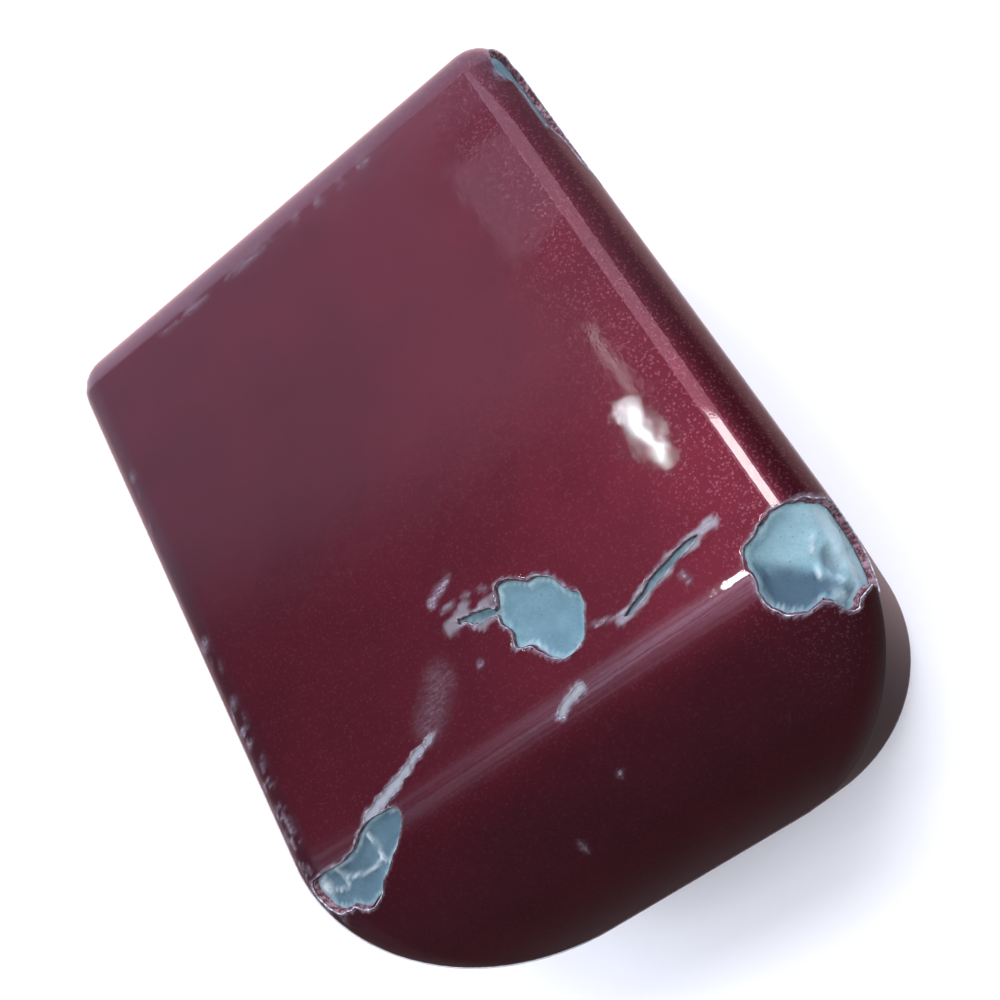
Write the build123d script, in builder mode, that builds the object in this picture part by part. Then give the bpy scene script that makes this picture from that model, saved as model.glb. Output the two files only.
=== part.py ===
from build123d import *
import os

# Lacquered cue chalk, in millimetres. The block lies on one of its long sides: X runs across it,
# Y runs from the rounded base end to the dished end, and Z runs up from the side it rests on.
# The origin is the middle of the rest face.

# Overall size, measured over the lacquer
body_width = 22.0
body_height = 22.0
body_length = 29.2

# Rounding of the outer skin
side_radius = 1.6
rim_radius = 1.6
base_radius = 7.0

# Lacquer: a coloured base coat under a clear top coat, open at the dished end
base_coat = 0.12
clear_coat = 0.15
coat_land = 0.6
mouth_corner_radius = 2.0

# Cue-tip dish
dish_diameter = 15.0
dish_depth = 5.6

# Damage to the lacquer
clear_setback = 0.08
cutter_rise = 1.0
chip_floor = 0.15
centre_chip_reach = 1.2
edge_chip_reach = 2.6
rim_wear_reach = 2.0
lobe_radius = 2.6
lobe_bite = 0.55
notch_radius = 1.5

# Lines that the damage is placed from
right_side = body_width / 2
left_side = -body_width / 2
dish_end = body_length / 2
base_bend = -body_length / 2 + base_radius
chalk_top = body_height - base_coat - clear_coat
chalk_end = dish_end - base_coat - clear_coat
mouth_inset = rim_radius + coat_land


def rounded_block(inset):
    """The whole block with its skin moved in by inset."""
    with BuildPart() as block:
        with Locations((0, 0, body_height / 2)):
            Box(body_width - 2 * inset, body_length - 2 * inset, body_height - 2 * inset)
        fillet(block.faces().sort_by(Axis.Y)[0].edges(), base_radius - inset)
        fillet(block.edges().filter_by(Axis.Y), side_radius - inset)
        fillet(block.faces().sort_by(Axis.Y)[-1].edges(), rim_radius - inset)
    return block.part


def chip(points, reach, grow=0.0):
    """A straight plug through the upper side: the outline widened by grow, cut down by reach."""
    with BuildPart() as plug:
        with BuildSketch(Plane.XY.offset(body_height - reach)):
            with BuildLine():
                Polyline(*points, close=True)
            make_face()
            if grow:
                offset(amount=grow)
        extrude(amount=reach + cutter_rise)
    return plug.part


def shifted(points, x, y):
    """An outline moved by x and y."""
    return [(x + px, y + py) for px, py in points]


def mouth(inset):
    """The square opening in the lacquer at the dished end, out to inset from the sides."""
    with BuildPart() as plug:
        with BuildSketch(Plane.XZ.offset(-dish_end + rim_radius)):
            with Locations((0, body_height / 2)):
                RectangleRounded(body_width - 2 * inset, body_height - 2 * inset, mouth_corner_radius)
        extrude(amount=-rim_radius - cutter_rise)
    return plug.part


# Flat flake out of the upper side, near the middle of the base half
centre_chip_at = (1.5, -5.4)
centre_chip = shifted(
    [(-0.7, 1.7), (0.2, 1.2), (0.8, 1.1), (1.2, 0.3), (1.6, -0.2), (1.1, -1.0), (0.5, -1.6),
     (0.0, -1.5), (-0.7, -0.6), (-1.2, -0.4), (-1.2, 0.6), (-1.0, 1.0)],
    *centre_chip_at,
)

# Chunk off the corner between the upper side, the right side and the base
corner_chip = shifted(
    [(-3.0, 0.3), (-2.1, 0.7), (-1.6, 0.9), (-0.7, 0.6), (cutter_rise, 0.1), (cutter_rise, -2.3),
     (-0.6, -2.2), (-1.2, -2.7), (-1.8, -2.2), (-2.7, -2.1), (-3.4, -1.1)],
    right_side,
    base_bend,
)

# The two rounded bites that the chunk leaves in the chalk: a wide shallow one and a smaller one at the edge
lobe_at = (right_side - 1.7, base_bend - 0.7)
notch_at = (right_side + 0.6, base_bend - 1.1)

# Long flake at the left end of the base bend
bend_chip = shifted(
    [(4.5, 0.0), (5.1, -0.4), (4.6, -1.2), (3.8, -1.7), (3.3, -2.3), (2.3, -2.6), (1.2, -2.0),
     (0.8, -1.2), (1.6, -0.9), (2.6, -0.9), (3.7, -0.3)],
    left_side,
    base_bend,
)

# Gouge through both coats, between the centre flake and the right-hand edge
gouge = [(7.7, -6.0), (6.9, -5.9), (5.9, -6.1), (4.8, -6.5), (3.8, -6.9), (5.3, -6.8), (6.6, -6.5)]

# Scratches in the clear coat alone
bend_scratch = shifted([(7.6, 1.1), (6.1, 0.6), (4.5, 0.15), (5.9, 0.25), (7.1, 0.8)], left_side, base_bend)
base_scratch = shifted([(1.5, -0.4), (1.1, -0.4), (0.4, -0.7), (0.7, -0.8)], 0, base_bend)

# Lacquer rubbed off the long right-hand edge next to the rim
rim_wear = shifted(
    [(-0.6, -0.9), (-0.5, -3.4), (-0.4, -5.0), (-0.1, -5.8), (cutter_rise, -5.8), (cutter_rise, -0.9)],
    right_side,
    dish_end,
)

chalk_body = rounded_block(base_coat + clear_coat)
base_body = rounded_block(clear_coat)
clear_body = rounded_block(0)

# Pressed chalk block, with the dish that the cue tip turns in
dish_sphere = ((dish_diameter / 2) ** 2 + dish_depth**2) / (2 * dish_depth)
lobe_rise = lobe_radius - lobe_bite
with BuildPart() as chalk_block:
    add(chalk_body)
    with Locations((0, chalk_end + dish_sphere - dish_depth, body_height / 2)):
        Sphere(dish_sphere, mode=Mode.SUBTRACT)
    add(chip(centre_chip, base_coat + clear_coat + chip_floor), mode=Mode.SUBTRACT)
    with Locations((*lobe_at, chalk_top + lobe_rise)):
        Sphere(lobe_radius, mode=Mode.SUBTRACT)
    with Locations((*notch_at, chalk_top)):
        Sphere(notch_radius, mode=Mode.SUBTRACT)
chalk_block.part.label = "chalk_block"

# Coloured metallic base coat
with BuildPart() as base_coat_shell:
    add(base_body)
    add(chalk_body, mode=Mode.SUBTRACT)
    add(mouth(mouth_inset), mode=Mode.SUBTRACT)
    add(chip(centre_chip, centre_chip_reach), mode=Mode.SUBTRACT)
    add(chip(corner_chip, edge_chip_reach), mode=Mode.SUBTRACT)
    add(chip(bend_chip, edge_chip_reach), mode=Mode.SUBTRACT)
    add(chip(gouge, centre_chip_reach), mode=Mode.SUBTRACT)
    add(chip(rim_wear, rim_wear_reach), mode=Mode.SUBTRACT)
base_coat_shell.part.label = "base_coat"

# Clear top coat, broken back a little further than the base coat at every chip
with BuildPart() as clear_coat_shell:
    add(clear_body)
    add(base_body, mode=Mode.SUBTRACT)
    add(mouth(mouth_inset - clear_setback), mode=Mode.SUBTRACT)
    add(chip(centre_chip, centre_chip_reach, clear_setback), mode=Mode.SUBTRACT)
    add(chip(corner_chip, edge_chip_reach + clear_setback, clear_setback), mode=Mode.SUBTRACT)
    add(chip(bend_chip, edge_chip_reach, clear_setback), mode=Mode.SUBTRACT)
    add(chip(gouge, centre_chip_reach, clear_setback), mode=Mode.SUBTRACT)
    add(chip(rim_wear, rim_wear_reach + clear_setback, clear_setback), mode=Mode.SUBTRACT)
    add(chip(bend_scratch, centre_chip_reach), mode=Mode.SUBTRACT)
    add(chip(base_scratch, centre_chip_reach), mode=Mode.SUBTRACT)
clear_coat_shell.part.label = "clear_coat"

os.makedirs("parts", exist_ok=True)
export_step(chalk_block.part, "parts/chalk_block.step")
export_step(base_coat_shell.part, "parts/base_coat.step")
export_step(clear_coat_shell.part, "parts/clear_coat.step")
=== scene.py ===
import bmesh
import bpy
import numpy as np
from math import asin, cos, pi, radians, sin
from mathutils import Matrix, Vector


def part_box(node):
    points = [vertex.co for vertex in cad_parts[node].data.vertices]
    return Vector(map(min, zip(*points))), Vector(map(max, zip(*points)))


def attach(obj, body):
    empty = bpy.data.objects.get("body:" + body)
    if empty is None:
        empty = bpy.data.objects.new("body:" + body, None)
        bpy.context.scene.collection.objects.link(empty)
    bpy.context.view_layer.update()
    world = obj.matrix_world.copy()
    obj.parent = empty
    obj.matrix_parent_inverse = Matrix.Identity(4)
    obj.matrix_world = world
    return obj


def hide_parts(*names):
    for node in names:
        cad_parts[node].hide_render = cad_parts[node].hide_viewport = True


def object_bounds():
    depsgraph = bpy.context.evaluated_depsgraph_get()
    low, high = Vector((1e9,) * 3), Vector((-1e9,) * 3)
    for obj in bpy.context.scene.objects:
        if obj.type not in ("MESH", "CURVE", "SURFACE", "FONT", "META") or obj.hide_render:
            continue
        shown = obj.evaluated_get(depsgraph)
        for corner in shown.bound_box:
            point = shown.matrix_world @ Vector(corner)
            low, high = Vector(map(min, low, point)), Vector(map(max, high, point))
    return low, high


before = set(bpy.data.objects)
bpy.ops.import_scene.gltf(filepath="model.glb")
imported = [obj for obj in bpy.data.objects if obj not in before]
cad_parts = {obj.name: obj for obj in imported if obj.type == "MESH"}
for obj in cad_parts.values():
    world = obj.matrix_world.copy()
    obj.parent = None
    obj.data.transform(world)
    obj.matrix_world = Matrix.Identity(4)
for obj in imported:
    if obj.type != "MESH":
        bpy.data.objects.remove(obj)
cad_low, cad_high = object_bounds()

# ---------------------------------------------------------------------------------------------
# Sizes. Shapes are worked out in millimetres and become metres when a mesh is made.
# ---------------------------------------------------------------------------------------------
MM = 0.001

chalk_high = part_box("chalk_block")[1]
base_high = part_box("base_coat")[1]
clear_low, clear_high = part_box("clear_coat")

half_width = (clear_high.x - clear_low.x) / 2 / MM
half_length = (clear_high.y - clear_low.y) / 2 / MM
mid_height = (clear_high.z + clear_low.z) / 2 / MM
clear_thick = (clear_high.z - base_high.z) / MM
base_thick = (base_high.z - chalk_high.z) / MM

side_radius = 1.6
base_radius = 7.0
dish_radius = 7.5
dish_depth = 5.6
dish_land = 0.45
coat_land = 0.6
mouth_corner = 2.0

# Every skin of the block is the same core moved out by a radius of its own, so the core has sharp
# sides, a bend at the base end and a square edge at the dished end.
core_half = half_width - side_radius
core_bend = base_radius - side_radius
core_flat = core_half - core_bend
core_base = -half_length + side_radius
core_end = half_length - side_radius
bend_line = -half_length + base_radius

air_gap = 0.01
# The clear coat bends light, so the colour under it is seen right out to the block's outline.
# Its shell is drawn thinner than the CAD's, and the coloured shell thicker, to show that.
clear_seen = 0.05
clear_out = side_radius
clear_in = side_radius - clear_seen + air_gap
base_out = side_radius - clear_seen
base_in = side_radius - clear_thick - base_thick
chalk_out = base_in - air_gap

QUARTER = pi / 2
TINY = 1e-12


# ---------------------------------------------------------------------------------------------
# Smooth noise and outlines
# ---------------------------------------------------------------------------------------------
LATTICE = 97


def noise(a, b, cell, seed):
    """Smooth value noise from -1 to 1 over two coordinates, with cells of the given size."""
    lattice = np.random.default_rng(seed).uniform(-1, 1, (LATTICE, LATTICE))
    a, b = np.asarray(a) / cell, np.asarray(b) / cell
    ia, ib = np.floor(a).astype(int), np.floor(b).astype(int)
    fa, fb = a - ia, b - ib
    fa, fb = fa * fa * (3 - 2 * fa), fb * fb * (3 - 2 * fb)

    def pick(da, db):
        return lattice[(ia + da) % LATTICE, (ib + db) % LATTICE]

    low = pick(0, 0) * (1 - fa) + pick(1, 0) * fa
    high = pick(0, 1) * (1 - fa) + pick(1, 1) * fa
    return low * (1 - fb) + high * fb


def rough(a, b, cell, seed, octaves=3):
    """Several sizes of smooth noise added up."""
    total = 0.0
    for k in range(octaves):
        total = total + noise(a, b, cell / 2**k, seed + k) / 2**k
    return total


def smooth(x, low, high):
    """0 below low, 1 above high, and a smooth step between."""
    t = np.clip((np.asarray(x) - low) / (high - low), 0, 1)
    return t * t * (3 - 2 * t)


def between_points(before, here, after, beyond, t):
    """A point a share t of the way from here to after, on a smooth curve through all four."""
    linear = (after - before) * t
    square = (2 * before - 5 * here + 4 * after - beyond) * t**2
    cube = (3 * here - before - 3 * after + beyond) * t**3
    return 0.5 * (2 * here + linear + square + cube)


def closed_curve(points, steps=6):
    """A smooth closed line through a few points."""
    p = np.array(points, float)
    before, after, beyond = np.roll(p, 1, 0), np.roll(p, -1, 0), np.roll(p, -2, 0)
    shares = np.linspace(0, 1, steps, endpoint=False)
    out = [between_points(before, p, after, beyond, t) for t in shares]
    return np.stack(out, 1).reshape(-1, 2)


def open_curve(points, steps=6):
    """A smooth open line through a few points."""
    p = np.array(points, float)
    p = np.vstack([2 * p[0] - p[1], p, 2 * p[-1] - p[-2]])
    shares = np.linspace(0, 1, steps, endpoint=False)
    out = [between_points(a, b, c, d, t) for a, b, c, d in zip(p, p[1:], p[2:], p[3:]) for t in shares]
    out.append(p[-2])
    return np.array(out)


def line_distance(u, v, line, closed=False):
    """Distance from each (u, v) to a line of points; for a closed line it is negative inside."""
    start = np.asarray(line, float)
    end = np.roll(start, -1, 0) if closed else start[1:]
    start = start if closed else start[:-1]
    # lines further off than this are all the same distance away
    margin = 2.5
    low, high = np.min(line, 0) - margin, np.max(line, 0) + margin
    near = (u > low[0]) & (u < high[0]) & (v > low[1]) & (v < high[1])
    result = np.full(u.shape, margin)
    p = np.stack([u[near], v[near]], -1)
    best = np.full(len(p), margin)
    inside = np.zeros(len(p), bool)
    for a, b in zip(start, end):
        along = b - a
        t = np.clip(((p - a) @ along) / max(along @ along, TINY), 0, 1)
        best = np.minimum(best, np.linalg.norm(p - a - t[:, None] * along, axis=1))
        crosses = (a[1] > p[:, 1]) != (b[1] > p[:, 1])
        slope = along[0] / (along[1] if abs(along[1]) > TINY else TINY)
        inside ^= crosses & (p[:, 0] < a[0] + slope * (p[:, 1] - a[1]))
    if closed:
        best = np.where(inside, -best, best)
    result[near] = best
    return result


def unrolled(points):
    """Outline points on the block, given across and along it, laid out flat over its rounded edges."""
    flat = []
    for x, y in points:
        if y < bend_line:
            y = bend_line - base_radius * asin(min(1.0, (bend_line - y) / base_radius))
        if abs(x) > core_half:
            past = min(1.0, (abs(x) - core_half) / side_radius)
            x = (core_half + side_radius * asin(past)) * (1 if x > 0 else -1)
        flat.append((x, y))
    return flat


# ---------------------------------------------------------------------------------------------
# Damage, laid out flat: across the block from the middle of the upper side, and along it
# ---------------------------------------------------------------------------------------------
centre_chip = closed_curve(
    unrolled(
        [(0.80, -3.70), (1.70, -4.15), (2.35, -4.45), (2.70, -5.15), (3.00, -5.55), (2.65, -6.35),
         (2.10, -6.92), (1.35, -6.80), (0.80, -6.05), (0.32, -5.75), (0.45, -5.30), (0.32, -4.70)]
    )
)
# the part of the corner chip that is over the right-hand edge is already laid out flat
corner_top = unrolled([(7.95, -7.35), (8.85, -6.92), (9.60, -6.75), (10.40, -7.00)])
corner_side = [(12.2, -7.40), (13.3, -8.10), (13.5, -9.10), (12.6, -10.1)]
corner_low = unrolled(
    [(10.45, -9.85), (9.80, -10.30), (9.25, -9.80), (8.40, -9.72), (7.75, -9.00), (7.85, -8.15)]
)
corner_chip = closed_curve(corner_top + corner_side + corner_low)
bend_chip = closed_curve(
    unrolled(
        [(-6.95, -7.84), (-5.95, -8.00), (-6.30, -8.75), (-7.00, -9.20), (-7.60, -9.62), (-8.55, -10.15),
         (-9.15, -9.85), (-9.85, -9.65), (-10.30, -8.75), (-9.60, -8.42), (-8.40, -8.47), (-7.65, -8.05)]
    )
)
gouge_line = open_curve([(7.72, -6.00), (6.70, -6.15), (5.40, -6.45), (4.30, -6.82), (3.75, -6.95)])
crumb_line = open_curve([(-1.00, -3.92), (-0.40, -4.22), (0.05, -4.35), (0.40, -4.45)])
bend_scratch = open_curve(unrolled([(-3.50, -6.60), (-4.70, -7.00), (-5.90, -7.42), (-7.10, -7.80)]))
ridge_scratch = open_curve(unrolled([(1.45, -8.03), (1.05, -8.12), (0.50, -8.36)]))
flap_line = open_curve([(-1.35, -3.45), (-0.60, -3.35), (0.20, -3.50), (0.85, -3.80)])
scuff_line = open_curve([(-1.50, -2.95), (-1.05, -2.75), (-0.60, -2.60)])
tail_line = open_curve([(2.60, -6.50), (3.10, -6.70), (3.95, -6.80)])
lift_line = open_curve([(-2.5, -5.2), (-3.0, -5.8), (-3.6, -6.3)])
bend_cracks = [
    open_curve(unrolled([(-7.50, -8.15), (-7.38, -8.70), (-7.42, -9.10), (-7.25, -9.35)])),
    open_curve(unrolled([(-9.10, -8.55), (-8.98, -9.00), (-9.10, -9.30), (-9.70, -9.10)])),
    open_curve(unrolled([(-7.42, -9.10), (-8.10, -9.25), (-8.98, -9.00)])),
]
crumb_at = unrolled([(-9.95, -8.85)])[0]
wear_patch = closed_curve(
    [(10.6, 12.9), (10.75, 11.2), (10.7, 9.6), (11.2, 8.6), (11.6, 7.4), (12.6, 7.2), (13.6, 9.0),
     (13.4, 12.4), (12.0, 13.5)]
)

# inside the corner chip: a wide bite, a small deep hollow by the edge, a thin crest between them,
# two crushed lumps (place, size, height), and the line past which shade is painted where the face turns
# away
lobe_at = unrolled([(8.9, -8.35)])[0]
lobe_radius = 1.75
hollow_at = unrolled([(10.28, -8.85)])[0]
hollow_radius = 0.62
corner_ridge = open_curve(unrolled([(10.10, -8.00), (9.78, -8.40), (9.66, -8.75), (9.50, -9.15)]))
corner_bumps = [
    (unrolled([(10.20, -9.40)])[0], 0.20, 0.10),
    (unrolled([(9.72, -9.80)])[0], 0.28, 0.12),
]
shade_at = unrolled([(8.25, -8.09)])[0]
shade_way = (-0.66, -0.75)


def chip_field(u, v):
    """Smallest signed distance to a patch where both coats are gone, and each patch's own."""
    ragged = 0.10 * noise(u, v, 0.42, 11) + 0.05 * noise(u, v, 0.19, 12)
    patches = {
        "centre": line_distance(u, v, centre_chip, True) + 0.7 * ragged,
        "corner": line_distance(u, v, corner_chip, True) + 0.8 * ragged,
        "bend": line_distance(u, v, bend_chip, True) + 0.8 * ragged,
    }
    gouge_left, gouge_right, gouge_taper = 3.6, 7.9, 2.0
    taper = np.clip(np.minimum(gouge_right - u, u - gouge_left) / gouge_taper, 0, 1)
    gouge_half_width = 0.15 * taper**0.6 - 0.02
    patches["gouge"] = line_distance(u, v, gouge_line) - gouge_half_width + 0.4 * ragged
    crumb_half_width = 0.10
    patches["crumb"] = line_distance(u, v, crumb_line) - crumb_half_width + 1.5 * ragged
    wear = 0.25 * rough(u, v, 0.9, 21)
    patches["wear"] = line_distance(u, v, wear_patch, True) + wear
    return patches


# ---------------------------------------------------------------------------------------------
# The block's surface as one grid: stations along its profile, and a ring round it at each one
# ---------------------------------------------------------------------------------------------
def spaced(points):
    """Values along a line: (start, step), ... and a last plain end."""
    out = []
    for (start, step), nxt in zip(points[:-1], points[1:]):
        stop = nxt[0] if isinstance(nxt, tuple) else nxt
        count = max(1, int(round(abs(stop - start) / step)))
        out.extend(np.linspace(start, stop, count, endpoint=False))
    out.append(points[-1])
    return np.array(out)


def profile():
    """Rows of: core half width, core y, outward part and y part of the normal, length along."""
    rows = []
    for h in spaced([(0.0, 0.5), core_flat])[:-1]:
        rows.append((h, core_base, 0.0, -1.0, bend_line - base_radius * QUARTER - (core_flat - h)))
    for turn in spaced([(0.0, 0.06), (0.95, 0.017), QUARTER])[:-1]:
        rows.append(
            (
                core_flat + core_bend * sin(turn),
                core_base + core_bend * (1 - cos(turn)),
                sin(turn),
                -cos(turn),
                bend_line - base_radius * (QUARTER - turn),
            )
        )
    for y in spaced([(bend_line, 0.115), (-2.4, 0.36), (12.0, 0.14), core_end])[:-1]:
        rows.append((core_half, y, 1.0, 0.0, y))
    for turn in spaced([(0.0, QUARTER / 9), QUARTER])[:-1]:
        rows.append((core_half, core_end, cos(turn), sin(turn), core_end + side_radius * turn))
    for h in spaced([(core_half, 0.1), (core_half - 1.2, 0.3), dish_radius + dish_land]):
        rows.append((h, core_end, 0.0, 1.0, core_end + side_radius * QUARTER + core_half - h))
    return np.array(rows)


def ring():
    """Points round a ring: side number, place along the side from -1 to 1, share of the corner."""
    sides = [
        np.linspace(-1, 1, 150),
        spaced([(-1.0, 0.018), (-0.55, 0.1), 1.0]),
        np.linspace(-1, 1, 20),
        spaced([(-1.0, 0.1), (0.75, 0.03), 1.0]),
    ]
    corner_steps = [10, 4, 4, 14]
    out = []
    for k in range(4):
        for t in sides[k]:
            out.append((k, t, 0.0))
        for f in np.linspace(0, 1, corner_steps[k] + 1)[1:-1]:
            out.append((k, 1.0, f))
    return np.array(out)


def side_turn(k):
    """The turn that takes the upper side to side k: right, under and left are 1, 2 and 3."""
    across, down = cos(k * QUARTER), sin(k * QUARTER)
    return np.array([[across, down], [-down, across]])


SIDE_TURNS = [side_turn(k) for k in range(4)]

# place across, given to the side that it rests on, to keep it clear of every outline
NO_DAMAGE = 99.0


def block_surface():
    """Core points, normals, the flat layout (u, v) and triangles of the whole closed surface."""
    rows, marks = profile(), ring()
    cores, normals, flat = [], [], []
    for h, y, out_part, y_part, along in rows:
        gap = np.arccos(np.clip(y_part * y_part, -1, 1))
        for k, t, f in marks:
            k = int(k)
            turn = SIDE_TURNS[k]
            here = np.array([0.0, out_part])
            there = np.array([out_part, 0.0])
            if f > 0 and gap > 1e-6:
                a, b = sin((1 - f) * gap) / sin(gap), sin(f * gap) / sin(gap)
                direction = a * here + b * there
                y_normal = (a + b) * y_part
            else:
                direction, y_normal = here, y_part
            cx, cz = turn @ np.array([t * h, h])
            nx, nz = turn @ direction
            cores.append((cx, y, cz + mid_height))
            normals.append((nx, y_normal, nz))
            over = side_radius * gap * f
            if k == 0:
                across = t * h + over
            elif k == 1:
                across = h + side_radius * gap + (1 + t) * h + over
            elif k == 3:
                across = -(h + side_radius * gap + (1 - t) * h) + over
            else:
                across = NO_DAMAGE
            flat.append((across, along))
    cores, normals, flat = np.array(cores), np.array(normals), np.array(flat)
    count, around = len(rows), len(marks)
    # the grid's corners: a and b along one ring, d and c along the next
    i, j = np.meshgrid(np.arange(count - 1), np.arange(around), indexing="ij")
    nxt = (j + 1) % around
    a, b = i * around + j, i * around + nxt
    c, d = (i + 1) * around + nxt, (i + 1) * around + j
    halves = [np.stack([a, c, d], -1), np.stack([a, b, c], -1)]
    triangles = np.concatenate([half.reshape(-1, 3) for half in halves])
    return cores, normals, flat, triangles


def welded(points, keys, triangles, extra):
    """Joins points whose keys are the same, drops empty triangles, and carries the extra arrays."""
    _, first, back = np.unique(np.round(keys, 5), axis=0, return_index=True, return_inverse=True)
    triangles = back.reshape(-1)[triangles]
    good = (
        (triangles[:, 0] != triangles[:, 1])
        & (triangles[:, 1] != triangles[:, 2])
        & (triangles[:, 2] != triangles[:, 0])
    )
    return points[first], triangles[good], [e[first] for e in extra]


def cut(field, triangles, arrays):
    """Keeps the part of the triangles where field is above 0, with new points on the cut line."""
    clear_of_zero = 1e-4
    field = np.where(np.abs(field) < clear_of_zero, clear_of_zero, field)
    keep = field > 0
    inside = keep[triangles]
    whole = triangles[inside.all(1)]
    crossing = triangles[inside.any(1) & ~inside.all(1)]
    made, blends, new = {}, [], []
    size = len(field)

    def between(a, b):
        key = (a, b) if a < b else (b, a)
        if key not in made:
            made[key] = size + len(blends)
            share = field[key[0]] / (field[key[0]] - field[key[1]])
            blends.append((key[0], key[1], share))
        return made[key]

    for tri in crossing.tolist():
        kept = [bool(keep[i]) for i in tri]
        if sum(kept) == 1:
            k = kept.index(True)
            a, b, c = tri[k], tri[(k + 1) % 3], tri[(k + 2) % 3]
            new.append((a, between(a, b), between(a, c)))
        else:
            k = kept.index(False)
            a, b, c = tri[k], tri[(k + 1) % 3], tri[(k + 2) % 3]
            ab, ac = between(a, b), between(a, c)
            new.append((ab, b, c))
            new.append((ab, c, ac))
    out = []
    if blends:
        blends = np.array(blends)
        p, q, s = blends[:, 0].astype(int), blends[:, 1].astype(int), blends[:, 2:]
        for array in arrays:
            out.append(np.vstack([array, array[p] * (1 - s) + array[q] * s]))
    else:
        out = list(arrays)
    triangles = np.vstack([whole, np.array(new, int).reshape(-1, 3)])
    used = np.unique(triangles)
    renumber = np.full(len(out[0]), -1)
    renumber[used] = np.arange(len(used))
    return renumber[triangles], [array[used] for array in out]


def open_edges(triangles):
    """Directed edges that only one triangle has."""
    edges = np.vstack([triangles[:, [0, 1]], triangles[:, [1, 2]], triangles[:, [2, 0]]])
    ordered = np.sort(edges, 1)
    _, back, count = np.unique(ordered, axis=0, return_inverse=True, return_counts=True)
    return edges[count[back.reshape(-1)] == 1]


def make_mesh(name, points, faces, slots, attributes, materials):
    """A smooth-shaded mesh object from points in millimetres."""
    mesh = bpy.data.meshes.new(name)
    mesh.from_pydata((points * MM).tolist(), [], faces.tolist())
    mesh.update()
    mesh.polygons.foreach_set("use_smooth", np.ones(len(faces), bool))
    mesh.polygons.foreach_set("material_index", slots.astype(np.int32))
    for key, values in attributes.items():
        layer = mesh.attributes.new(key, "FLOAT", "POINT")
        layer.data.foreach_set("value", np.asarray(values, np.float32))
    for material in materials:
        mesh.materials.append(material)
    obj = bpy.data.objects.new(name, mesh)
    bpy.context.scene.collection.objects.link(obj)
    return obj


def shell(name, field, outer, inner, arrays, triangles, attributes, materials, bevel):
    """A closed coat: outer and inner skins cut along field, with a wall round every opening."""
    core, normal, flat = arrays
    push = outer[:, None]
    names = list(attributes)
    stacked = [core, normal, flat, push] + [attributes[n][:, None] for n in names]
    tris, cut_arrays = cut(field, triangles, stacked)
    core, normal, flat, push = cut_arrays[:4]
    normal = normal / np.linalg.norm(normal, axis=1)[:, None]
    rims = open_edges(tris)
    top = core + normal * push
    bottom = core + normal * inner
    # the broken edge leans back a little, more in some places than in others
    lean = np.zeros_like(top)
    for a, b in rims:
        along = top[b] - top[a]
        side = np.cross(normal[a], along)
        length = np.linalg.norm(side)
        if length > 1e-9:
            lean[a] += side / length
            lean[b] += side / length
    length = np.linalg.norm(lean, axis=1)
    edge = length > 1e-9
    reach = bevel * (0.6 + 0.4 * noise(flat[edge, 0], flat[edge, 1], 0.35, 77))
    top[edge] += lean[edge] / length[edge][:, None] * reach[:, None]
    size = len(top)
    walls = np.vstack(
        [
            np.stack([rims[:, 1], rims[:, 0], rims[:, 0] + size], -1),
            np.stack([rims[:, 1], rims[:, 0] + size, rims[:, 1] + size], -1),
        ]
    )
    faces = np.vstack([tris, tris[:, ::-1] + size, walls])
    slots = np.concatenate([np.zeros(2 * len(tris)), np.ones(len(walls))])
    values = {n: np.tile(a[:, 0], 2) for n, a in zip(names, cut_arrays[4:])}
    obj = make_mesh(name, np.vstack([top, bottom]), faces, slots, values, materials)
    sharp = np.zeros(len(obj.data.edges), bool)
    ends = np.zeros(len(obj.data.edges) * 2, np.int32)
    obj.data.edges.foreach_get("vertices", ends)
    ends = np.sort(ends.reshape(-1, 2), 1)
    rim_keys = set(map(tuple, np.sort(rims, 1).tolist()))
    for k, (a, b) in enumerate(ends.tolist()):
        if (a, b) in rim_keys or (a >= size and (a - size, b - size) in rim_keys):
            sharp[k] = True
    layer = obj.data.attributes.new("sharp_edge", "BOOLEAN", "EDGE")
    layer.data.foreach_set("value", sharp)
    return obj


# ---------------------------------------------------------------------------------------------
# Material helpers
# ---------------------------------------------------------------------------------------------
# a colour Mix node's sockets
MIX_A, MIX_B, MIX_RESULT = 6, 7, 2


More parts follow.
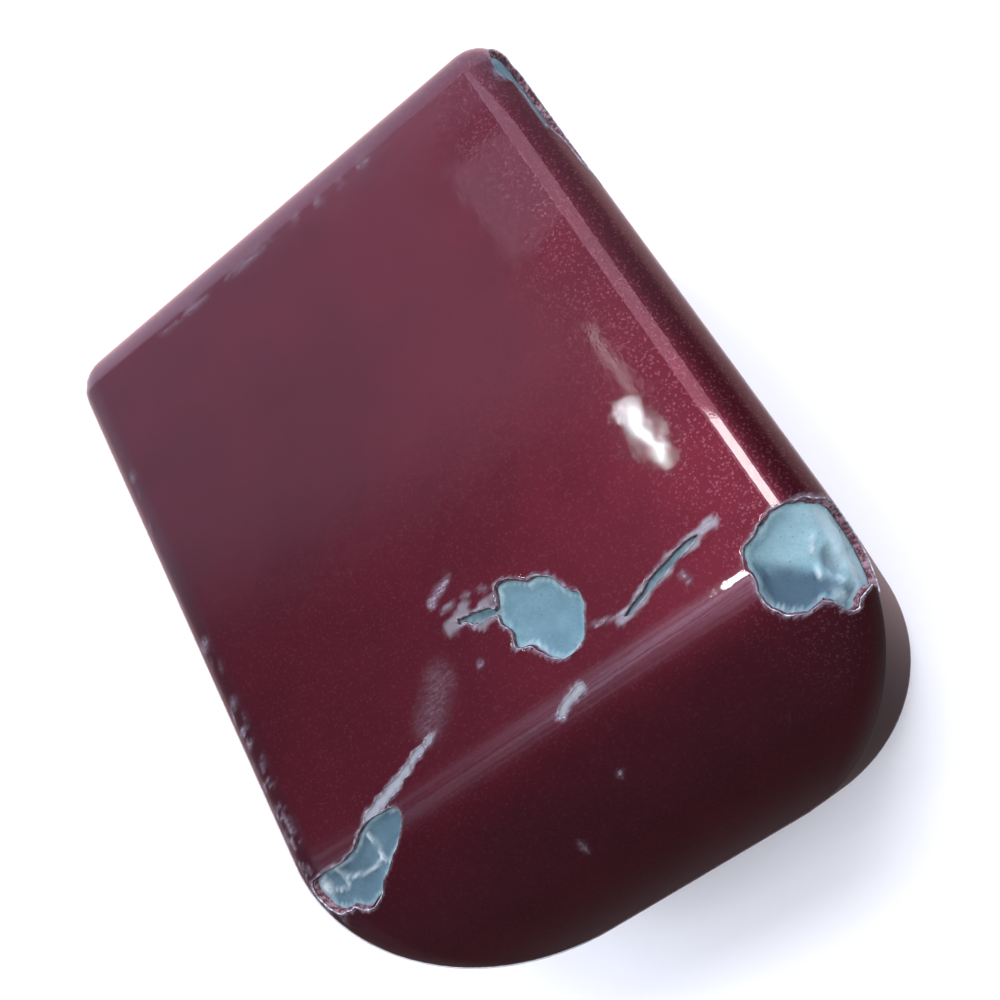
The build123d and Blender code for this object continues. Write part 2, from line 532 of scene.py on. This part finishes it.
class Nodes:
    """A short way to write a node tree."""

    def __init__(self, name):
        self.material = bpy.data.materials.new(name)
        self.material.use_nodes = True
        self.tree = self.material.node_tree
        self.tree.nodes.clear()
        self.output = self.tree.nodes.new("ShaderNodeOutputMaterial")
        where = self.add("ShaderNodeTexCoord")
        scale = self.add("ShaderNodeVectorMath", operation="SCALE")
        self.link(where.outputs["Object"], scale.inputs[0])
        scale.inputs["Scale"].default_value = 1 / MM
        self.mm = scale.outputs[0]

    def add(self, kind, **settings):
        node = self.tree.nodes.new(kind)
        for key, value in settings.items():
            setattr(node, key, value)
        return node

    def link(self, source, target):
        self.tree.links.new(source, target)

    def put(self, socket, value):
        if isinstance(value, bpy.types.NodeSocket):
            self.link(value, socket)
        elif isinstance(value, tuple) and len(value) == 3 and socket.type == "RGBA":
            socket.default_value = (*value, 1.0)
        else:
            socket.default_value = value

    def math(self, operation, a, b=0.0, clamp=False):
        node = self.add("ShaderNodeMath", operation=operation, use_clamp=clamp)
        self.put(node.inputs[0], a)
        self.put(node.inputs[1], b)
        return node.outputs[0]

    def step(self, value, low, high):
        node = self.add("ShaderNodeMapRange", interpolation_type="SMOOTHSTEP")
        self.put(node.inputs["Value"], value)
        self.put(node.inputs["From Min"], low)
        self.put(node.inputs["From Max"], high)
        return node.outputs[0]

    def noise(self, scale, detail=3.0, rough=0.5, stretch=None, warp=0.0):
        vector = self.mm
        if stretch:
            mapping = self.add("ShaderNodeMapping")
            self.link(vector, mapping.inputs["Vector"])
            mapping.inputs["Scale"].default_value = stretch
            vector = mapping.outputs[0]
        node = self.add("ShaderNodeTexNoise")
        self.link(vector, node.inputs["Vector"])
        node.inputs["Scale"].default_value = scale
        node.inputs["Detail"].default_value = detail
        node.inputs["Roughness"].default_value = rough
        node.inputs["Distortion"].default_value = warp
        return node.outputs["Fac"]

    def cells(self, scale):
        node = self.add("ShaderNodeTexVoronoi")
        self.link(self.mm, node.inputs["Vector"])
        node.inputs["Scale"].default_value = scale
        return node

    def mix(self, share, a, b):
        node = self.add("ShaderNodeMix", data_type="RGBA")
        self.put(node.inputs[0], share)
        self.put(node.inputs[MIX_A], a)
        self.put(node.inputs[MIX_B], b)
        return node.outputs[MIX_RESULT]

    def attribute(self, name):
        return self.add("ShaderNodeAttribute", attribute_name=name).outputs["Fac"]

    def bump(self, height, distance, strength=1.0):
        node = self.add("ShaderNodeBump")
        self.put(node.inputs["Height"], height)
        node.inputs["Distance"].default_value = distance * MM
        node.inputs["Strength"].default_value = strength
        return node.outputs[0]

    def place(self, axis):
        """How far along an axis a point is, in millimetres."""
        node = self.add("ShaderNodeSeparateXYZ")
        self.link(self.mm, node.inputs[0])
        return node.outputs[axis]

    def vector_math(self, operation, a, b=None):
        """Vector maths of a alone, with another vector, or with a number for SCALE."""
        node = self.add("ShaderNodeVectorMath", operation=operation)
        self.link(a, node.inputs[0])
        if b is not None:
            self.put(node.inputs["Scale" if operation == "SCALE" else 1], b)
        return node.outputs[0]

    def principled(self, **inputs):
        node = self.add("ShaderNodeBsdfPrincipled")
        for key, value in inputs.items():
            self.put(node.inputs[key.replace("_", " ")], value)
        return node.outputs[0]

    def finish(self, shader):
        self.link(shader, self.output.inputs["Surface"])
        return self.material


# ---------------------------------------------------------------------------------------------
# Materials
# ---------------------------------------------------------------------------------------------
def chalk_material():
    """Pressed chalk: matte teal with mottling, a fine grain and pores, paler where it is crushed and
    where highlights are painted, and darker where shade is painted.
    """
    n = Nodes("chalk")
    deep_teal = (0.150, 0.300, 0.345)
    light_teal = (0.210, 0.385, 0.430)
    dusty = (0.33, 0.50, 0.56)
    pore_shadow = (0.07, 0.15, 0.20)
    shaded = (0.052, 0.100, 0.138)
    crushed_and_highlight = (0.60, 0.68, 0.70)
    mottle = n.noise(0.9, 5.0, 0.6)
    grain = n.noise(9.0, 4.0, 0.7)
    pores = n.step(n.cells(5.5).outputs["Distance"], 0.20, 0.05)
    colour = n.mix(n.step(mottle, 0.35, 0.65), deep_teal, light_teal)
    colour = n.mix(n.math("MULTIPLY", n.step(grain, 0.5, 0.75), 0.35), colour, dusty)
    colour = n.mix(n.math("MULTIPLY", pores, 0.35), colour, pore_shadow)
    # painted shade: darker in the corner chip's hollow and on its side away from the light, and darker
    # chalk all through the chips, the gouge, the crumb and the worn patch
    colour = n.mix(n.attribute("dark"), colour, shaded)
    # paler: crushed chalk, and painted highlights on the corner chip's crest, lumps and lit side
    colour = n.mix(n.attribute("pale"), colour, crushed_and_highlight)
    height = n.math("ADD", grain, n.math("MULTIPLY", mottle, 0.8))
    height = n.math("SUBTRACT", height, n.math("MULTIPLY", pores, 0.5))
    shader = n.principled(
        Base_Color=colour,
        Roughness=n.math("SUBTRACT", 0.95, n.math("MULTIPLY", grain, 0.25)),
        Normal=n.bump(height, 0.05, 0.8),
    )
    return n.finish(shader)


def lacquer_material():
    """Metallic maroon base coat: fine flakes that face their own ways, silver where it is rubbed, and a
    painted glint on the flakes by the upper right-hand edge.
    """
    n = Nodes("base_lacquer")
    dark_maroon = (0.092, 0.0066, 0.0152)
    light_maroon = (0.110, 0.0078, 0.0176)
    flake_pink = (0.55, 0.22, 0.28)
    rubbed_silver = (0.42, 0.44, 0.46)
    cloud = n.noise(0.35, 4.0, 0.55)
    colour = n.mix(n.step(cloud, 0.3, 0.7), dark_maroon, light_maroon)

    # one flake in five is bright, and beside the upper right-hand edge more of them are lit up as a
    # painted glint
    flakes_per_mm = 18.0
    random = n.add("ShaderNodeSeparateColor")
    n.link(n.cells(flakes_per_mm).outputs["Color"], random.inputs[0])
    glint = n.step(random.outputs[0], 0.80, 1.0)
    painted_glint_zone = n.math("MULTIPLY", n.step(n.place("X"), 6.0, 9.5), n.step(n.place("Z"), 19.5, 21.5))
    sparkle = n.math("ADD", 0.05, n.math("MULTIPLY", painted_glint_zone, 0.18))
    colour = n.mix(n.math("MULTIPLY", glint, sparkle), colour, flake_pink)
    colour = n.mix(n.attribute("silver"), colour, rubbed_silver)

    # each small cell leans its own way
    leans_per_mm = 20.0
    lean = 0.03
    spread = n.vector_math("SUBTRACT", n.cells(leans_per_mm).outputs["Color"], (0.5, 0.5, 0.5))
    facing = n.add("ShaderNodeNewGeometry").outputs["Normal"]
    turned = n.vector_math("ADD", facing, n.vector_math("SCALE", spread, lean))
    shader = n.principled(
        Base_Color=colour,
        Metallic=0.82,
        Roughness=n.math("ADD", 0.40, n.math("MULTIPLY", n.attribute("silver"), 0.2)),
        Normal=n.vector_math("NORMALIZE", turned),
    )
    return n.finish(shader)


def broken_material(name, dull, bright, scale):
    """The broken edge of a coat: rough, with paler splinters."""
    n = Nodes(name)
    splinters = n.noise(scale, 4.0, 0.7)
    colour = n.mix(n.step(splinters, 0.42, 0.62), dull, bright)
    shader = n.principled(
        Base_Color=colour,
        Roughness=n.math("SUBTRACT", 0.75, n.math("MULTIPLY", splinters, 0.3)),
        Normal=n.bump(splinters, 0.04, 0.8),
    )
    return n.finish(shader)


def clear_material():
    """Clear top coat: a wavy gloss over whatever is below it, frosted where it is scuffed."""
    n = Nodes("clear_lacquer")
    untinted = (1.0, 1.0, 1.0)
    outline_tint = (0.45, 0.32, 0.35)
    frost_shadow = (0.30, 0.22, 0.30)
    frost_light = (0.62, 0.56, 0.64)

    # long waves all over, and a finer unevenness that is strongest on the upper side
    waves = n.noise(0.55, 2.0, 0.5)
    peel = n.noise(4.2, 3.0, 0.65)
    peel_share = n.math("ADD", 0.03, n.math("MULTIPLY", n.step(n.place("Z"), 20.0, 21.9), 0.13))
    wave_height = 0.007
    normal = n.bump(n.math("ADD", waves, n.math("MULTIPLY", peel, peel_share)), wave_height)

    # clear film: darker where it is looked along, and glossy on the side that faces out
    clear = n.add("ShaderNodeBsdfTransparent")
    grazing = n.add("ShaderNodeLayerWeight")
    grazing.inputs["Blend"].default_value = 0.5
    looked_along = n.step(grazing.outputs["Facing"], 0.88, 0.99)
    n.link(n.mix(looked_along, untinted, outline_tint), clear.inputs["Color"])
    gloss = n.add("ShaderNodeBsdfGlossy")
    gloss.inputs["Roughness"].default_value = 0.045
    n.link(normal, gloss.inputs["Normal"])
    fresnel = n.add("ShaderNodeFresnel")
    fresnel.inputs["IOR"].default_value = 1.5
    n.link(normal, fresnel.inputs["Normal"])
    side = n.add("ShaderNodeNewGeometry")
    front = n.math("SUBTRACT", 1.0, side.outputs["Backfacing"])
    coat = n.add("ShaderNodeMixShader")
    n.link(n.math("MULTIPLY", fresnel.outputs[0], front), coat.inputs[0])
    n.link(clear.outputs[0], coat.inputs[1])
    n.link(gloss.outputs[0], coat.inputs[2])

    # frosting, broken up by a fine fuzz
    scratches = n.noise(1.0, 3.0, 0.6, stretch=(2.0, 16.0, 6.0), warp=0.6)
    fuzz = n.step(n.noise(6.0, 3.0, 0.7), 0.35, 0.65)
    covering = n.math("ADD", n.math("MULTIPLY", fuzz, 0.5), 0.5)
    frost_share = n.math("MULTIPLY", n.attribute("scuff"), n.math("MULTIPLY", covering, front))
    frost = n.principled(
        Base_Color=n.mix(n.step(scratches, 0.4, 0.6), frost_shadow, frost_light),
        Roughness=0.6,
        Normal=n.bump(fuzz, 0.02, 0.6),
    )
    both = n.add("ShaderNodeMixShader")
    n.link(frost_share, both.inputs[0])
    n.link(coat.outputs[0], both.inputs[1])
    n.link(frost, both.inputs[2])
    return n.finish(both.outputs[0])


chalk_finish = chalk_material()
lacquer_finish = lacquer_material()
lacquer_edge = broken_material("base_lacquer_edge", (0.10, 0.02, 0.03), (0.35, 0.22, 0.26), 7.0)
clear_finish = clear_material()
clear_edge = broken_material("clear_lacquer_edge", (0.22, 0.19, 0.22), (0.66, 0.66, 0.70), 6.0)

# ---------------------------------------------------------------------------------------------
# The three pieces
# ---------------------------------------------------------------------------------------------
core, normal, flat, triangles = block_surface()
keys = np.hstack([core, normal])
core, triangles, (normal, flat) = welded(core, keys, triangles, [normal, flat])
u, v = flat[:, 0], flat[:, 1]
patches = chip_field(u, v)
bare = np.minimum.reduce(list(patches.values()))

# the opening in the coats at the dished end
over_x = np.abs(core[:, 0]) - (core_half - coat_land - mouth_corner)
over_z = np.abs(core[:, 2] - mid_height) - (core_half - coat_land - mouth_corner)
corner_part = np.hypot(np.maximum(over_x, 0), np.maximum(over_z, 0))
mouth = corner_part + np.minimum(np.maximum(over_x, over_z), 0) - mouth_corner
mouth = np.where(normal[:, 1] > 0.01, mouth, 5.0)
mouth_edge = mouth + 0.06 * noise(core[:, 0], core[:, 2], 0.6, 31)

# scratches in the clear coat alone
widening = smooth(-u, 3.3, 6.9)
line_bend = line_distance(u, v, bend_scratch) - (0.05 + 0.13 * widening)
line_ridge = line_distance(u, v, ridge_scratch) - 0.13
ragged = 0.16 * noise(u, v, 0.30, 41)
splinters = 0.07 * noise(u * 0.9 + v * 0.4, v * 0.9 - u * 0.4, 0.16, 43)
scratched = np.minimum(line_bend, line_ridge) + splinters

arrays = (core, normal, flat)
one = np.ones(len(core))

# the coloured coat, with silver where the scratches and flaps rub it
base_field = np.minimum(bare, mouth_edge)
silver = smooth(-scratched, -0.10, 0.10)
silver = np.maximum(silver, 0.5 * smooth(-(line_distance(u, v, crumb_line) - 0.45 + 2 * ragged), 0, 0.2))
silver = np.maximum(silver, 0.6 * smooth(-(line_distance(u, v, gouge_line) - 0.22 + ragged), 0, 0.12))
wavy = 0.0010 * rough(u, v, 2.6, 51)
base_lacquer = shell(
    "base_lacquer",
    base_field,
    base_out * one,
    base_in,
    arrays,
    triangles,
    {"silver": silver},
    [lacquer_finish, lacquer_edge],
    0.015,
)

# the clear coat breaks back a little further, and the scratches go through it alone
setback = 0.015 + 0.05 * np.maximum(0, noise(u, v, 0.7, 61))
clear_field = np.minimum(bare - setback, mouth_edge - 0.08)
clear_field = np.minimum(clear_field, scratched)

# frosting along the loose flaps and scuffs: line, how far it reaches and how strong
flaps = [(flap_line, 0.10, 0.20), (scuff_line, 0.24, 0.50), (tail_line, 0.12, 0.4)]
scuff = np.zeros(len(u))
for line, reach, amount in flaps:
    scuff = np.maximum(scuff, amount * smooth(-(line_distance(u, v, line) + 0.7 * ragged), -reach, 0.0))
smear = smooth(-line_distance(u, v, lift_line) - 0.3 * ragged, -0.9, 0.0)
scuff = np.maximum(scuff, 0.11 * smear)

# nicks along the left-hand edge, mostly towards the base
nicks = noise(u, v, 0.30, 101) + 0.6 * noise(u, v, 0.13, 103)
left_edge = np.exp(-(((u + core_half + 0.75) / 0.32) ** 2))
near_base = smooth(-v, -9.5, 8.0)
scuff = np.maximum(scuff, 0.45 * left_edge * smooth(nicks + 0.55 * near_base, 0.75, 1.10))

# small frosted specks: across, along and how strong
specks = [
    (-1.00, -5.60, 0.8),
    (6.10, -6.85, 0.7),
    (6.15, -7.10, 0.7),
    (1.00, -10.9, 0.5),
    (-1.5, -12.3, 0.4),
    (6.2, -12.2, 0.4),
]
speck_radius = 0.09
for at_u, at_v, amount in specks:
    away = np.hypot(u - at_u, v - at_v) / speck_radius
    scuff = np.maximum(scuff, amount * np.exp(-away * away))

# the far edge and the broken rims
far_edge = np.exp(-(((v - 12.75) / 0.22) ** 2)) * smooth(6.2 - np.abs(u + 0.2), 0, 1)
streaks = noise(u, v, 0.55, 105) + 0.5 * noise(u, v * 3, 0.2, 107)
scuff = np.maximum(scuff, 0.22 * far_edge * smooth(streaks, -0.2, 0.8))
near_break = np.minimum(bare - setback, scratched)
scuff = np.maximum(scuff, 0.50 * smooth(-near_break + 0.04 * noise(u, v, 0.25, 45), -0.09, -0.02))
clear_lacquer = shell(
    "clear_lacquer",
    clear_field,
    clear_out + np.minimum(wavy, 0),
    clear_in,
    arrays,
    triangles,
    {"scuff": scuff},
    [clear_finish, clear_edge],
    0.035,
)


def chalk_piece():
    """The chalk's outer surface, hollowed where the coats are gone, and its pale and dark places, some
    of them painted light and shade.
    """
    depth = np.zeros(len(u))
    pale = np.zeros(len(u))
    dark = np.zeros(len(u))
    lumps = rough(u, v, 0.55, 71)
    fine = rough(u, v, 0.24, 75)
    centre, corner, bend = patches["centre"], patches["corner"], patches["bend"]
    depth = np.maximum(depth, (0.10 + 0.03 * lumps) * smooth(-centre, 0.0, 0.35))
    depth = np.maximum(depth, (0.12 + 0.05 * lumps) * smooth(-bend, 0.0, 0.35))
    depth = np.maximum(depth, (0.12 + 0.08 * fine) * smooth(-patches["gouge"], -0.02, 0.08))
    depth = np.maximum(depth, (0.10 + 0.10 * fine) * smooth(-patches["crumb"], -0.02, 0.10))
    depth = np.maximum(depth, (0.08 + 0.05 * lumps) * smooth(-patches["wear"], 0.0, 0.4))
    from_lobe = np.hypot(u - lobe_at[0], v - lobe_at[1])
    from_hollow = np.hypot((u - hollow_at[0]) / 0.75, v - hollow_at[1])
    lobe = 0.40 * np.clip(1 - (from_lobe / lobe_radius) ** 2, 0, 1)
    hollow = 0.42 * np.clip(1 - (from_hollow / hollow_radius) ** 2, 0, 1) ** 0.7
    facets = 0.07 * rough(u, v, 0.8, 91, 2)
    bitten = 0.16 + np.maximum(lobe, hollow) + facets + 0.02 * fine
    for (at_u, at_v), size, height in corner_bumps:
        away = np.hypot(u - at_u, v - at_v) / size
        bitten = bitten - height * np.exp(-away * away)
        # painted highlight on top of each lump
        pale = np.maximum(pale, 0.45 * np.exp(-2 * away * away))
    inside = smooth(-corner, 0.0, 0.30)
    crest = np.exp(-((line_distance(u, v, corner_ridge) / 0.07) ** 2)) * inside
    bitten = bitten - 0.16 * crest
    depth = np.maximum(depth, bitten * inside)
    # painted highlight along the crest
    pale = np.maximum(pale, 0.75 * crest)
    worn_rim = smooth(u, core_half + 1.1, core_half + 1.5) * smooth(-corner, 0.02, 0.15)
    pale = np.maximum(pale, 0.40 * worn_rim * smooth(v, -10.2, -9.4))
    # painted shade in the hollow
    dark = np.maximum(dark, 0.85 * smooth(hollow, 0.10, 0.34) * inside)
    # painted shade over the chip past the shade line, and painted light on its near side
    shade_line = (u - shade_at[0]) * shade_way[0] + (v - shade_at[1]) * shade_way[1]
    shaded = smooth(shade_line + 0.15 * lumps, -0.45, 0.15)
    lit = smooth(-shade_line + 0.25 * lumps, 0.0, 0.5)
    dark = np.maximum(dark, shaded * smooth(-corner, 0, 0.1))
    pale = np.maximum(pale, 0.12 * lit * smooth(-corner, 0, 0.2))
    dark = dark * (1 - pale)
    # the chalk is also darker all through the chips, the gouge, the crumb and the worn patch
    dark = np.maximum(dark, (0.50 + 0.08 * lumps) * smooth(-centre, 0.0, 0.2))
    dark = np.maximum(dark, (0.86 + 0.08 * lumps) * smooth(-bend, 0.0, 0.1) * (1 - pale))
    dark = np.maximum(dark, 0.40 * smooth(-patches["gouge"], 0.0, 0.05))
    dark = np.maximum(dark, 0.55 * smooth(-patches["crumb"], 0.0, 0.05))
    dark = np.maximum(dark, 0.72 * smooth(-patches["wear"], 0.0, 0.1))
    for line in bend_cracks:
        ridge = np.exp(-((line_distance(u, v, line) / 0.055) ** 2)) * smooth(-bend, -0.05, 0.1)
        depth = depth - 0.08 * ridge * (1 + 0.6 * fine)
        pale = np.maximum(pale, 0.85 * ridge * (0.7 + 0.3 * fine))
    rim = smooth(-bare, 0.0, 0.04) * smooth(bare, -0.16, -0.06)
    pale = np.maximum(pale, 0.30 * rim * (1 + lumps) / 1.4)
    crumb = np.exp(-((np.hypot(u - crumb_at[0], v - crumb_at[1]) / 0.24) ** 2))
    pale = np.maximum(pale, 0.95 * crumb)
    depth = depth - 0.14 * crumb * (1 + 0.4 * fine)
    out = chalk_out - depth
    points = core + normal * out[:, None]
    return points, pale, dark


def rim_loop(faces):
    """The corners round the open end of a surface, in order."""
    rims = open_edges(faces)
    follow = dict(map(tuple, rims.tolist()))
    loop = [rims[0, 0]]
    while follow[loop[-1]] != loop[0]:
        loop.append(follow[loop[-1]])
    return np.array(loop)


def closed_with_dish(points, faces):
    """The open end closed by rings of faces that go inwards: the flat land, then down the dish."""
    loop = rim_loop(faces)
    end_level = core_end + chalk_out
    direction = core[loop][:, [0, 2]] - np.array([0.0, mid_height])
    direction = direction / np.linalg.norm(direction, axis=1)[:, None]
    turned = np.arctan2(direction[:, 1], direction[:, 0])
    dish_ball = (dish_radius**2 + dish_depth**2) / (2 * dish_depth)
    land_rings = dish_radius + np.array([0.30, 0.15, 0.05])
    lip_ring = [dish_radius - 0.01]
    bowl_rings = dish_radius * np.cos(np.linspace(0.0, QUARTER - 0.04, 30))
    all_points, all_faces = [points], [faces]
    previous = loop
    size = len(points)
    for radius in np.concatenate([land_rings, lip_ring, bowl_rings[2:]]):
        inner = min(radius, dish_radius)
        fall = np.sqrt(dish_ball**2 - inner**2) - (dish_ball - dish_depth)
        fall = fall + 0.05 * np.exp(-abs(radius - dish_radius) / 0.08)
        worn = 0.03 * noise(turned * 3, np.full(len(loop), radius), 0.5, 81)
        level = end_level - fall + worn * smooth(dish_radius - radius, 0, 1)
        x, z = direction[:, 0] * radius, mid_height + direction[:, 1] * radius
        here = np.arange(size, size + len(loop))
        size += len(loop)
        all_points.append(np.stack([x, level, z], -1))
        next_previous, next_here = np.roll(previous, -1), np.roll(here, -1)
        all_faces.append(np.stack([previous, here, next_here], -1))
        all_faces.append(np.stack([previous, next_here, next_previous], -1))
        previous = here
    all_points.append(np.array([[0.0, end_level - dish_depth, mid_height]]))
    all_faces.append(np.stack([previous, np.full(len(loop), size), np.roll(previous, -1)], -1))
    return np.vstack(all_points), np.vstack(all_faces)


skin, pale, dark = chalk_piece()
points, faces = closed_with_dish(skin, triangles)
dish_blank = np.zeros(len(points) - len(skin))
shades = [np.concatenate([pale, dish_blank]), np.concatenate([dark, dish_blank])]
points, faces, (pale, dark) = welded(points, points, faces, shades)
chalk_body = make_mesh(
    "chalk_body",
    points,
    faces,
    np.zeros(len(faces)),
    {"pale": pale, "dark": dark},
    [chalk_finish],
)

for piece, node, slot in (
    (chalk_body, "chalk_block", "chalk"),
    (base_lacquer, "base_coat", "base_coat"),
    (clear_lacquer, "clear_coat", "clear_coat"),
):
    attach(piece, "root")
    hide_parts(node)

# ---------------------------------------------------------------------------------------------
# Camera
# ---------------------------------------------------------------------------------------------
heading = radians(-33.19)
tilt_down = radians(65.02)
roll = radians(66.59)
aim = Vector((-0.27, 2.65, 11.66)) * MM
distance = 47.3 * MM

forward = Vector((sin(heading) * cos(tilt_down), cos(heading) * cos(tilt_down), -sin(tilt_down)))
level = forward.cross(Vector((0, 0, 1))).normalized()
upright = level.cross(forward)
right = level * cos(roll) - upright * sin(roll)
up = right.cross(forward)
camera_data = bpy.data.cameras.new("camera")
camera = bpy.data.objects.new("camera", camera_data)
bpy.context.scene.collection.objects.link(camera)
camera_data.lens = 39.09
camera_data.sensor_width = 36.0
camera_data.clip_start = 0.001
camera_data.clip_end = 50.0
basis = Matrix((right, up, -forward)).transposed().to_4x4()
camera.matrix_world = Matrix.Translation(aim - forward * distance) @ basis
bpy.context.scene.camera = camera

# ---------------------------------------------------------------------------------------------
# Floor, lamps and surroundings
# ---------------------------------------------------------------------------------------------
floor_mesh = bpy.data.meshes.new("floor")
reach = 3.0
floor_mesh.from_pydata(
    [(-reach, -reach, 0), (reach, -reach, 0), (reach, reach, 0), (-reach, reach, 0)], [], [(0, 1, 2, 3)]
)
floor = bpy.data.objects.new("floor", floor_mesh)
floor.location.z = cad_low.z - 0.00002
bpy.context.scene.collection.objects.link(floor)
paper = Nodes("floor_paper")
grain = paper.noise(0.05, 4.0)
floor_mesh.materials.append(
    paper.finish(
        paper.principled(
            Base_Color=paper.mix(grain, (0.93, 0.93, 0.93), (0.95, 0.95, 0.95)),
            Roughness=0.9,
            Specular_IOR_Level=0.1,
        )
    )
)
# a white floor in the gloss would hide the block's outline
floor.visible_glossy = False

backdrop_mesh = bpy.data.meshes.new("backdrop")
dome = bmesh.new()
# views from other sides show nothing beyond about 2.1 m, so the dome stays inside that
dome_radius = 1.9
bmesh.ops.create_uvsphere(dome, u_segments=48, v_segments=24, radius=dome_radius)
dome.to_mesh(backdrop_mesh)
dome.free()
backdrop = bpy.data.objects.new("backdrop", backdrop_mesh)
bpy.context.scene.collection.objects.link(backdrop)
wall = Nodes("backdrop_paper")
glow = wall.add("ShaderNodeEmission")
glow.inputs["Color"].default_value = (0.93, 0.93, 0.95, 1.0)
backdrop_mesh.materials.append(wall.finish(glow.outputs[0]))
backdrop.visible_diffuse = False
backdrop.visible_glossy = False
backdrop.visible_transmission = False
backdrop.visible_shadow = False


COOL = (0.80, 0.78, 1.0)
NEAR = 0.6


def lamp(name, seen_from, direction, away, size_x, size_y, radiance, colour=(1, 1, 1), mirrored=True):
    """A flat soft lamp out along a direction from a point in millimetres, facing back at it."""
    data = bpy.data.lights.new(name, "AREA")
    data.shape = "RECTANGLE"
    data.size = size_x
    data.size_y = size_y
    data.energy = radiance * pi * size_x * size_y
    data.color = colour
    obj = bpy.data.objects.new(name, data)
    bpy.context.scene.collection.objects.link(obj)
    out = Vector(direction).normalized()
    across = (Vector((1, 0, 0)) - out * out.x).normalized()
    obj.rotation_mode = "QUATERNION"
    obj.rotation_quaternion = Matrix((across, out.cross(across), out)).transposed().to_quaternion()
    obj.location = Vector(seen_from) * MM + out * away
    obj.visible_glossy = mirrored
    return obj


# name, the point it shines back at, the way there, how far, its two sizes, radiance and colour
lamp("overhead", (0, 0, 0), (0.05, 0.02, 1.0), 1.2, 2.2, 1.8, 1.42, mirrored=False)
lamp("glare", (7.3, -2.5, 22), (-0.09, 0.335, 0.936), NEAR, 0.0050, 0.036, 85.0, (0.86, 0.95, 1.0))
lamp("glare_tail", (7.5, 0.2, 22), (-0.076, 0.400, 0.912), NEAR, 0.0065, 0.050, 5.0)
lamp("bend_spot", (7.28, -7.88, 22), (-0.095, 0.114, 0.988), NEAR, 0.022, 0.030, 60.0)
lamp("side_line", (9.4, -5.0, 22), (0.20, 0.250, 0.935), NEAR, 0.160, 0.080, 22.0)
lamp("side_soft", (9.5, 1.0, 22), (0.22, 0.430, 0.870), NEAR, 0.260, 0.300, 1.9, COOL)
lamp("window", (8.4, 7.4, 22), (-0.04, 0.555, 0.830), NEAR, 0.070, 0.060, 1.0, COOL)

world = bpy.data.worlds.new("studio")
bpy.context.scene.world = world
world.use_nodes = True
sky = world.node_tree
sky.nodes.clear()
sky_out = sky.nodes.new("ShaderNodeOutputWorld")
background = sky.nodes.new("ShaderNodeBackground")
where = sky.nodes.new("ShaderNodeTexCoord")
parts = sky.nodes.new("ShaderNodeSeparateXYZ")
sky.links.new(where.outputs["Generated"], parts.inputs[0])


def sky_step(value, low, high, dim, bright):
    """A smooth step from dim to bright as a value goes from low to high."""
    node = sky.nodes.new("ShaderNodeMapRange")
    node.interpolation_type = "SMOOTHSTEP"
    sky.links.new(value, node.inputs["Value"])
    node.inputs["From Min"].default_value = low
    node.inputs["From Max"].default_value = high
    node.inputs["To Min"].default_value = dim
    node.inputs["To Max"].default_value = bright
    return node.outputs[0]


def sky_math(operation, a, b):
    """Maths of a value with a number or with another value."""
    node = sky.nodes.new("ShaderNodeMath")
    node.operation = operation
    sky.links.new(a, node.inputs[0])
    if isinstance(b, float):
        node.inputs[1].default_value = b
    else:
        sky.links.new(b, node.inputs[1])
    return node.outputs[0]


# glows that the gloss mirrors: ahead (+Y), to the left, further ahead, back past the base and, last,
# below the horizon ahead
ahead = sky_step(parts.outputs["Y"], 0.33, 0.46, 0.0, 0.76)
ahead = sky_math("MULTIPLY", ahead, sky_step(parts.outputs["X"], -0.04, -0.15, 0.40, 1.0))
leftward = sky_step(parts.outputs["X"], -0.52, -0.66, 0.0, 0.12)
beyond = sky_step(parts.outputs["Y"], 0.60, 0.67, 0.0, 1.7)
toward = sky_step(parts.outputs["Y"], -0.10, -0.70, 0.0, 0.10)
high = sky_step(parts.outputs["Z"], -0.30, 0.60, 0.55, 1.0)
total = sky_math("ADD", sky_math("ADD", ahead, leftward), sky_math("ADD", beyond, toward))
total = sky_math("MULTIPLY", total, high)
under = sky_step(parts.outputs["Z"], 0.10, -0.20, 0.0, 0.55)
under = sky_math("MULTIPLY", under, sky_step(parts.outputs["Y"], -0.10, 0.30, 0.0, 1.0))
total = sky_math("ADD", sky_math("ADD", total, under), 0.07)

# a strip of light seen along the base bend, with finer streaks in it
band = sky_step(parts.outputs["Y"], 0.20, 0.04, 0.0, 1.0)
band = sky_math("MULTIPLY", band, sky_step(parts.outputs["Y"], -0.22, 0.0, 0.0, 1.0))
band = sky_math("MULTIPLY", band, sky_step(parts.outputs["X"], -0.42, -0.12, 0.25, 1.0))
band = sky_math("MULTIPLY", band, sky_step(parts.outputs["Z"], 0.55, 0.80, 0.0, 1.0))
threads = sky.nodes.new("ShaderNodeMapping")
sky.links.new(where.outputs["Generated"], threads.inputs["Vector"])
threads.inputs["Scale"].default_value = (3.0, 26.0, 3.0)
streaks = sky.nodes.new("ShaderNodeTexNoise")
sky.links.new(threads.outputs[0], streaks.inputs["Vector"])
streaks.inputs["Scale"].default_value = 1.0
band = sky_math("MULTIPLY", band, sky_step(streaks.outputs["Fac"], 0.35, 0.65, 1.3, 4.6))
total = sky_math("ADD", total, band)
sky.links.new(total, background.inputs["Strength"])

# rosy low down and bluish high up
tints = sky.nodes.new("ShaderNodeMix")
tints.data_type = "RGBA"
sky.links.new(sky_step(parts.outputs["Z"], -0.25, 0.35, 0.0, 1.0), tints.inputs[0])
tints.inputs[MIX_A].default_value = (0.95, 0.70, 0.76, 1.0)
tints.inputs[MIX_B].default_value = (0.74, 0.80, 1.08, 1.0)
sky.links.new(tints.outputs[MIX_RESULT], background.inputs["Color"])
sky.links.new(background.outputs[0], sky_out.inputs["Surface"])

bpy.context.scene.view_settings.view_transform = "Standard"
